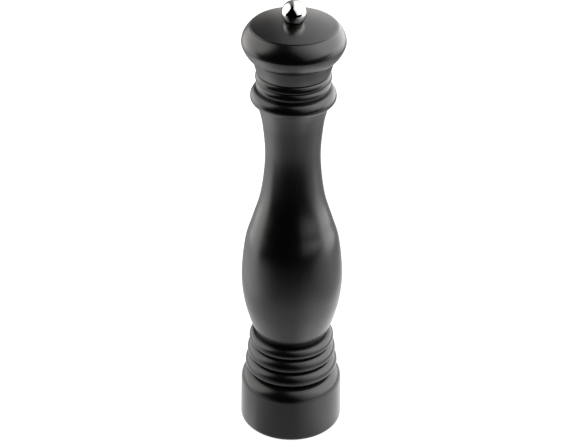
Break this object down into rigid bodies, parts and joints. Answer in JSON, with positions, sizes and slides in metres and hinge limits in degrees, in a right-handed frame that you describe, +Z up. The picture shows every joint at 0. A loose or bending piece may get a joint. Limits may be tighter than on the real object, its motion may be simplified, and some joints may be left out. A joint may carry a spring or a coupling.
{
  "type": "pepper mill",
  "caption": "Tall turned wooden pepper mill with beaded foot, bulb, slim neck, round cap and ball knob; the head drives conical burrs through a square shaft.",
  "frame": {"origin": "middle of the foot, on the surface that the mill stands on", "axes": "+Z up along the mill's axis, +X and +Y across it; the bridge's legs are at +X and -X"},
  "size_m": [0.0672, 0.0672, 0.3061],
  "materials": {
    "black_lacquered_beech": "satin black lacquer on turned beech",
    "polished_chrome": "polished",
    "zinc_plated_steel": "bright zinc plate",
    "case_hardened_steel": "dark case-hardened",
    "spring_steel": "drawn wire",
    "brass": "turned",
    "white_acetal": "moulded"
  },
  "bodies": {
    "stand": {"body": "black_lacquered_beech", "stator_ring": "case_hardened_steel", "flange": "zinc_plated_steel", "flange_screw_1": "zinc_plated_steel", "flange_screw_2": "zinc_plated_steel", "flange_screw_3": "zinc_plated_steel", "bridge": "zinc_plated_steel", "bridge_bush": "white_acetal"},
    "drive": {"thrust_washer": "zinc_plated_steel", "compression_spring": "spring_steel"},
    "shaft": {"drive_shaft": "zinc_plated_steel", "rotor": "case_hardened_steel", "spring_washer": "zinc_plated_steel", "rotor_washer": "zinc_plated_steel", "rotor_nut": "zinc_plated_steel"},
    "head": {"head": "black_lacquered_beech", "head_bush": "brass", "drive_plate": "zinc_plated_steel", "drive_plate_screw_1": "zinc_plated_steel", "drive_plate_screw_2": "zinc_plated_steel", "drive_plate_screw_3": "zinc_plated_steel"},
    "knob": {"adjusting_knob": "polished_chrome"}
  },
  "joints": [
    {"name": "head_turn", "type": "hinge", "parent": "stand", "child": "drive", "pos_m": [0, 0, 0.2544], "axis": [0, 0, 1], "continuous": true},
    {"name": "shaft_lift", "type": "slide", "parent": "drive", "child": "shaft", "axis": [0, 0, 1], "range_m": [0, 0.002], "deforming": ["compression_spring"]},
    {"name": "head_lift", "type": "slide", "parent": "drive", "child": "head", "axis": [0, 0, 1], "range_m": [0, 0.075]},
    {"name": "knob_turn", "type": "hinge", "parent": "head", "child": "knob", "pos_m": [0, 0, 0.2985], "axis": [0, 0, -1], "range_deg": [0, 900]}
  ],
  "couplings": [
    {"joint": "knob_turn", "follows": "shaft_lift", "rad_per_m": 7854}
  ]
}
